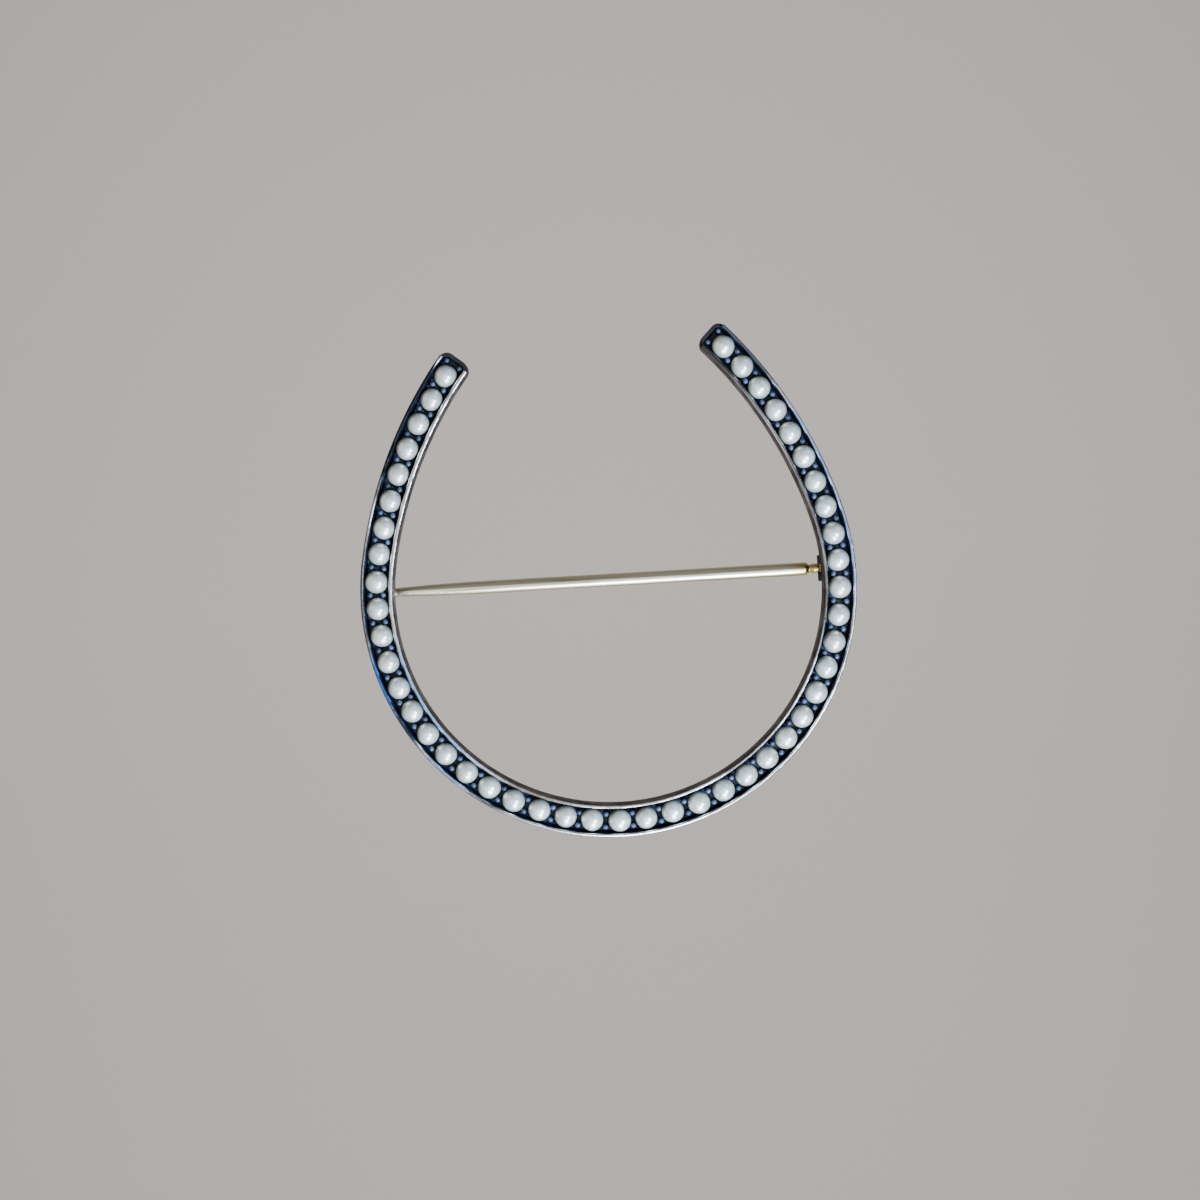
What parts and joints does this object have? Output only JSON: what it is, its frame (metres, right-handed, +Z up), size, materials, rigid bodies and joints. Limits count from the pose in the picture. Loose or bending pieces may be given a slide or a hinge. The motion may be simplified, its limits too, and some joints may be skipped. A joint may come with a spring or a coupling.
{
  "type": "horseshoe brooch",
  "caption": "Open horseshoe brooch: a silver channel holds a row of small round pearls between grains, with a hinged tapered pin and a plain C shaped catch behind.",
  "frame": {"origin": "on the back plane of the channel, midway between the hinge and the catch, where the brooch pins on", "axes": "+Z up to the open ends, +X to the right as the wearer is faced, and the front faces -Y"},
  "size_m": [0.038, 0.0046, 0.0384],
  "materials": {
    "oxidised_silver": "polished silver rims, recesses oxidised blue black",
    "pin_wire": "drawn pale nickel brass wire",
    "pearl": "cream grey pearl lustre"
  },
  "bodies": {
    "brooch": {"frame": "oxidised_silver", "hinge_rivet": "pin_wire", "pearl_01": "pearl", "pearl_02": "pearl", "pearl_03": "pearl", "pearl_04": "pearl", "pearl_05": "pearl", "pearl_06": "pearl", "pearl_07": "pearl", "pearl_08": "pearl", "pearl_09": "pearl", "pearl_10": "pearl", "pearl_11": "pearl", "pearl_12": "pearl", "pearl_13": "pearl", "pearl_14": "pearl", "pearl_15": "pearl", "pearl_16": "pearl", "pearl_17": "pearl", "pearl_18": "pearl", "pearl_19": "pearl", "pearl_20": "pearl", "pearl_21": "pearl", "pearl_22": "pearl", "pearl_23": "pearl", "pearl_24": "pearl", "pearl_25": "pearl", "pearl_26": "pearl", "pearl_27": "pearl", "pearl_28": "pearl", "pearl_29": "pearl", "pearl_30": "pearl", "pearl_31": "pearl", "pearl_32": "pearl", "pearl_33": "pearl", "pearl_34": "pearl", "pearl_35": "pearl", "pearl_36": "pearl", "pearl_37": "pearl", "pearl_38": "pearl", "pearl_39": "pearl", "pearl_40": "pearl", "pearl_41": "pearl", "pearl_42": "pearl", "pearl_43": "pearl", "pearl_44": "pearl", "pearl_45": "pearl", "pearl_46": "pearl"},
    "pin": {"pin": "pin_wire"}
  },
  "joints": [
    {"name": "pin_swing", "type": "hinge", "parent": "brooch", "child": "pin", "pos_m": [0.01718, 0.0014, -0.00084], "axis": [-0.0489, 0, -0.9988], "range_deg": [0, 110]}
  ]
}
